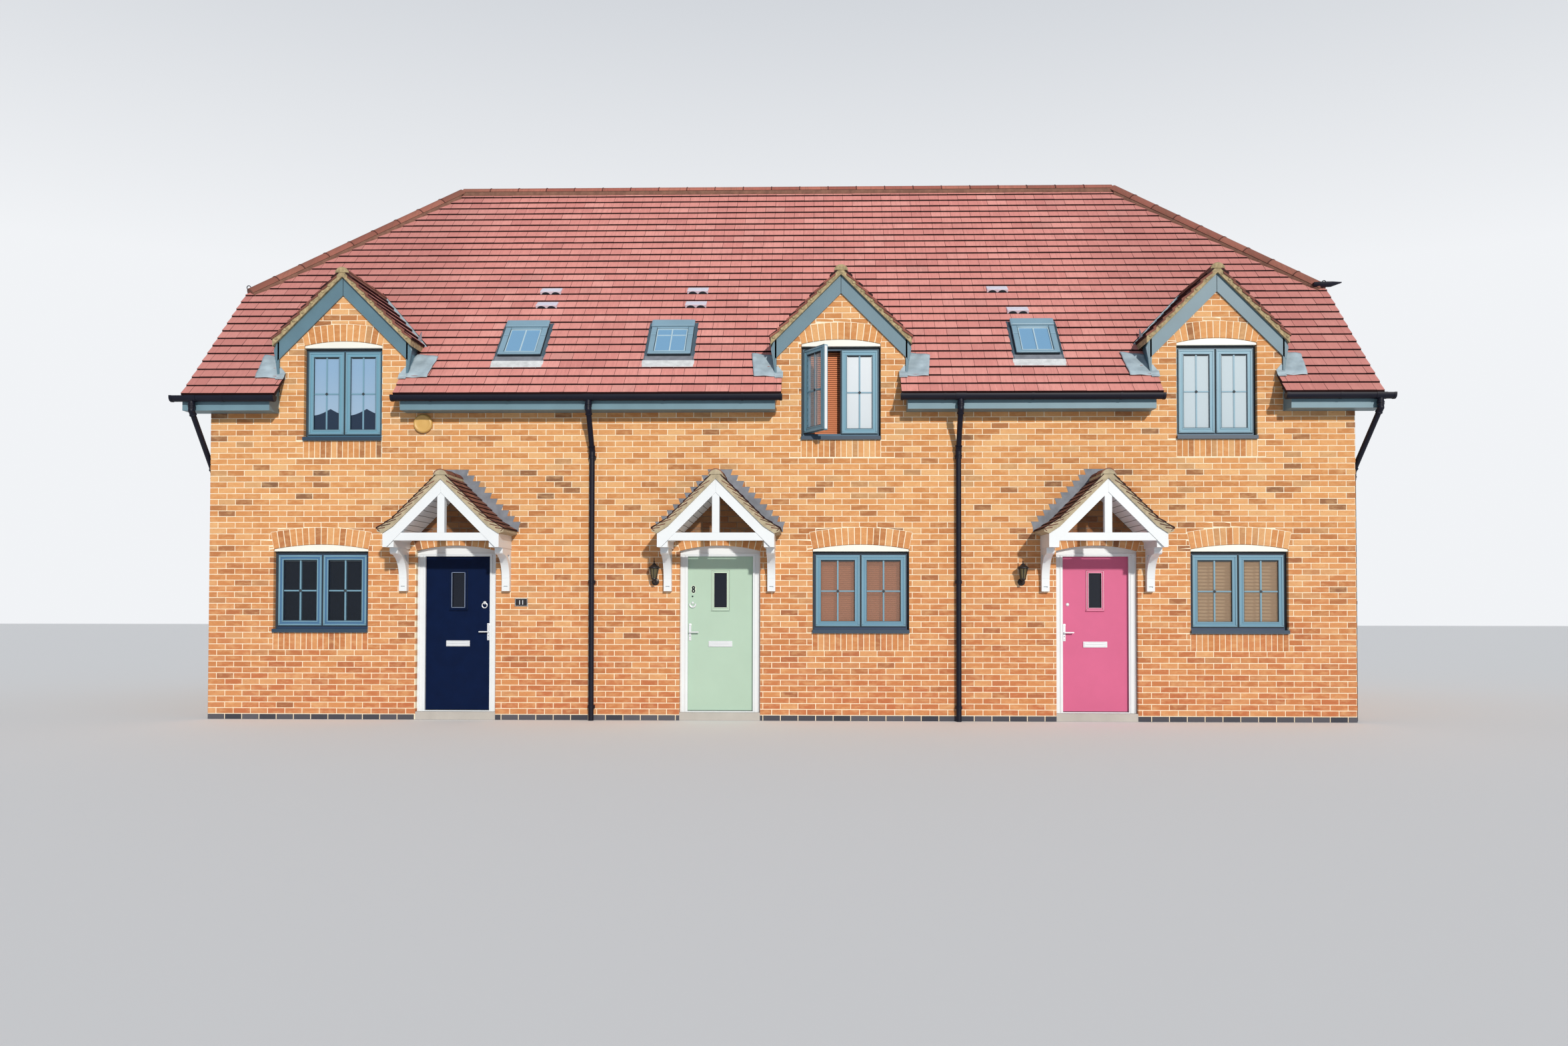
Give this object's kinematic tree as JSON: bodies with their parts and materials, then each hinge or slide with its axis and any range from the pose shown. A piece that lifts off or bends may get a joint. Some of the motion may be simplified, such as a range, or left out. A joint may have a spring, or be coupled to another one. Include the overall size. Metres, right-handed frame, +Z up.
{
  "type": "terraced house row",
  "caption": "Row of brick terraced houses with a half-hipped tiled roof, dormer gablets, skylights, timber porches and front doors that open inwards.",
  "frame": {"origin": "foot of the walls, in the middle of the row's footprint", "axes": "+X right along the row seen from the front, -Y out of the front, +Z up"},
  "size_m": [15.44, 8.254, 8.116],
  "materials": {
    "brick": "buff and orange multi stock brick",
    "blockwork": "plain plaster and concrete block",
    "concrete": "floated concrete",
    "floor_boards": "boarded floor",
    "roof_tile": "sanded red interlocking tile",
    "ridge_tile": "sanded brown ridge tile bedded in mortar",
    "porch_tile": "small red-brown plain tile",
    "joinery": "blue-grey stain",
    "white_joinery": "white paint",
    "lead": "dull milled lead",
    "black_plastic": "matt black rainwater goods",
    "black_metal": "satin black",
    "pane": "clear sealed pane",
    "navy_paint": "satin navy",
    "sage_paint": "satin sage green",
    "pink_paint": "satin pink",
    "cover_metal": "blue-grey coated metal",
    "bright_metal": "polished fittings",
    "yellow_plastic": "yellow alarm cover",
    "vent_plastic": "weathered pale vent tile"
  },
  "bodies": {
    "house": {"ground_slab": "concrete", "first_floor": "floor_boards", "front_wall": "brick", "door_lintels": "brick", "rear_wall": "brick", "gable_walls": "brick", "party_walls": "blockwork", "front_roof": "roof_tile", "rear_roof": "roof_tile", "half_hips": "roof_tile", "ridge_tiles": "ridge_tile", "hip_tiles": "ridge_tile", "gablet_roofs": "roof_tile", "gablet_cheeks": "brick", "bargeboards": "joinery", "lead_saddles": "lead", "eaves_boxes": "joinery", "gutters": "black_plastic", "downpipes": "black_plastic", "window_frames": "joinery", "window_glass": "pane", "window_sills": "joinery", "window_heads": "white_joinery", "door_frames": "white_joinery", "rear_doors": "white_joinery", "porch_roofs": "porch_tile", "porch_soffits": "white_joinery", "porch_frames": "white_joinery", "porch_brackets": "white_joinery", "porch_flashings": "lead", "skylight_frames": "cover_metal", "skylight_glass": "pane", "roof_vents": "vent_plastic", "coach_lamps": "black_metal", "alarm_box": "yellow_plastic", "number_plaque": "black_metal"},
    "left_door_leaf": {"left_door": "navy_paint", "left_door_glass": "pane", "left_door_fittings": "bright_metal"},
    "middle_door_leaf": {"middle_door": "sage_paint", "middle_door_glass": "pane", "middle_door_fittings": "bright_metal"},
    "right_door_leaf": {"right_door": "pink_paint", "right_door_glass": "pane", "right_door_fittings": "bright_metal"}
  },
  "joints": [
    {"name": "left_door_hinge", "type": "hinge", "parent": "house", "child": "left_door_leaf", "pos_m": [-4.5815, -3.432, 1.1], "axis": [0, 0, 1], "range_deg": [0, 90]},
    {"name": "middle_door_hinge", "type": "hinge", "parent": "house", "child": "middle_door_leaf", "pos_m": [-0.2935, -3.432, 1.1], "axis": [0, 0, -1], "range_deg": [0, 90]},
    {"name": "right_door_hinge", "type": "hinge", "parent": "house", "child": "right_door_leaf", "pos_m": [4.5265, -3.432, 1.1], "axis": [0, 0, -1], "range_deg": [0, 90]}
  ]
}
